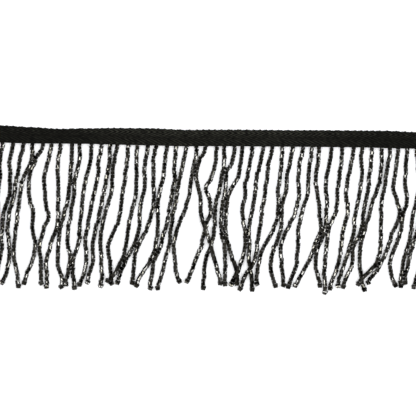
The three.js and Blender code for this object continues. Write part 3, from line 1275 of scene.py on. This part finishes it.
class FRINGE_OT_stitches(bpy.types.Operator):
    """Sews the strands to the back of the tape with a zigzag line of stitches"""

    bl_idname = "fringe.stitches"
    bl_label = "Stitches"
    bl_options = {"REGISTER", "UNDO"}

    def execute(self, context):
        scene = context.scene
        settings = scene.fringe_thread
        diameter = settings.diameter * STITCH_GIRTH
        line, pitch = settings.stitch_line / MM, settings.stitch_pitch / MM
        under = scene.fringe_tape.thickness / MM / 2 + diameter / MM

        def spot(x, nominal_y, drop=0.0):
            lower, upper = edges_at(x)
            y = lerp(lower, upper, nominal_y / TAPE_WIDTH)
            z = tape_middle_z(nominal_y) - under - drop
            return Vector((x, EDGE_Y + y, z))

        half_length = TAPE_LENGTH / 2 - STITCH_MARGIN
        count = int(2 * half_length / pitch * 2)
        zigzag = []
        for i in range(count + 1):
            x = -half_length + i * pitch / 2
            y = line + (ZIGZAG if i % 2 else -ZIGZAG)
            zigzag.append(spot(x, y))
        runs = [(zigzag, False)]
        for strand in dressed(scene.fringe_beads):
            top = strand.thread[-1]
            hold = spot(top.x, line, HOLD_DROP)
            middle = top.lerp(hold, 0.5) + Vector((0, 0, HOLD_BOW))
            turned = spot(top.x + HOLD_TAIL[0], line + HOLD_TAIL[1], HOLD_TAIL[2])
            runs.append(([top, middle, hold, turned], False))
        mesh = thread_mesh("stitches", runs, diameter)
        material = bpy.data.materials.get("waxed_thread") or thread_material(settings)
        add_piece("stitches", mesh, material, "fringe")
        return {"FINISHED"}


class FRINGE_OT_tape(bpy.types.Operator):
    """Weaves the heading tape, laid over the strands' first beads"""

    bl_idname = "fringe.tape"
    bl_label = "Heading Tape"
    bl_options = {"REGISTER", "UNDO"}

    def execute(self, context):
        settings = context.scene.fringe_tape
        mesh = tape_mesh(settings)
        piece = add_piece("heading_tape", mesh, tape_material(settings), "tape")
        selvedge = piece.vertex_groups.new(name="thickness")
        uv = {}
        for loop, data in zip(mesh.loops, mesh.uv_layers["cloth"].data):
            uv[loop.vertex_index] = data.uv.y
        width = tape_section()[1][-1]
        for index, v in uv.items():
            t = min(min(v, 1 - v) * width / ROUNDED_EDGE, 1.0)
            selvedge.add([index], math.sqrt(1 - (1 - t) ** 2), "REPLACE")
        solidify = piece.modifiers.new("thickness", "SOLIDIFY")
        solidify.thickness = settings.thickness
        solidify.offset = 0.0
        solidify.vertex_group = selvedge.name
        solidify.thickness_vertex_group = THINNEST_EDGE
        return {"FINISHED"}


class FRINGE_OT_stage(bpy.types.Operator):
    """Sets out the pale floor, the soft light and the camera"""

    bl_idname = "fringe.stage"
    bl_label = "Stage"
    bl_options = {"REGISTER", "UNDO"}

    def execute(self, context):
        scene = context.scene
        settings = scene.fringe_stage
        bm = bmesh.new()
        bmesh.ops.create_grid(bm, x_segments=1, y_segments=1, size=settings.floor_size / 2)
        mesh = mesh_from(bm, "floor")
        mesh.materials.append(floor_material(settings))
        add_object("floor", mesh)
        scene.world = studio_world(settings)

        area = settings.strip_width * settings.strip_length
        for number, degrees in enumerate(STRIP_ANGLES, 1):
            lamp = bpy.data.lights.new(f"strip_{number}", "AREA")
            lamp.shape = "RECTANGLE"
            lamp.color = settings.strip_colour
            lamp.size = settings.strip_width
            lamp.size_y = settings.strip_length
            lamp.energy = settings.strip_radiance * math.pi * area
            strip = add_object(f"strip_{number}", lamp)
            tilt = math.radians(degrees)
            strip.location = (
                settings.strip_distance * math.sin(tilt),
                0,
                settings.strip_distance * math.cos(tilt),
            )
            strip.rotation_euler = (0, tilt, 0)
            strip.visible_camera = False

        camera_data = bpy.data.cameras.new("camera")
        camera_data.sensor_width = SENSOR
        camera_data.lens = SENSOR * settings.camera_distance / settings.view_width
        camera = add_object("camera", camera_data)
        camera.location = (0, EDGE_Y * MM - settings.view_depth, settings.camera_distance)
        camera.rotation_euler = (0, 0, settings.view_roll)
        scene.camera = camera
        scene.view_settings.view_transform = "Standard"
        return {"FINISHED"}


class FRINGE_PT_panel(bpy.types.Panel):
    """Buttons and settings for the trim."""

    bl_idname = "FRINGE_PT_panel"
    bl_label = "Beaded Fringe Trim"
    bl_space_type = "VIEW_3D"
    bl_region_type = "UI"
    bl_category = "Fringe"

    def draw(self, context):
        scene = context.scene
        for operator, settings in (
            (FRINGE_OT_strands, scene.fringe_beads),
            (FRINGE_OT_threads, scene.fringe_thread),
            (FRINGE_OT_stitches, None),
            (FRINGE_OT_tape, scene.fringe_tape),
            (FRINGE_OT_stage, scene.fringe_stage),
        ):
            box = self.layout.box()
            box.operator(operator.bl_idname)
            if settings:
                for setting in settings.bl_rna.properties:
                    if setting.identifier not in ("rna_type", "name"):
                        box.prop(settings, setting.identifier)


CLASSES = (
    FringeTapeSettings,
    FringeBeadSettings,
    FringeThreadSettings,
    FringeStageSettings,
    FRINGE_OT_strands,
    FRINGE_OT_threads,
    FRINGE_OT_stitches,
    FRINGE_OT_tape,
    FRINGE_OT_stage,
    FRINGE_PT_panel,
)

SCENE_SETTINGS = {
    "fringe_tape": FringeTapeSettings,
    "fringe_beads": FringeBeadSettings,
    "fringe_thread": FringeThreadSettings,
    "fringe_stage": FringeStageSettings,
}


def register():
    for cls in CLASSES:
        bpy.utils.register_class(cls)
    for name, settings in SCENE_SETTINGS.items():
        setattr(bpy.types.Scene, name, PointerProperty(type=settings))


def unregister():
    for name in SCENE_SETTINGS:
        delattr(bpy.types.Scene, name)
    for cls in reversed(CLASSES):
        bpy.utils.unregister_class(cls)


def main():
    register()
    bpy.ops.fringe.strands()
    bpy.ops.fringe.threads()
    bpy.ops.fringe.stitches()
    bpy.ops.fringe.tape()
    bpy.ops.fringe.stage()


if __name__ == "__main__":
    main()
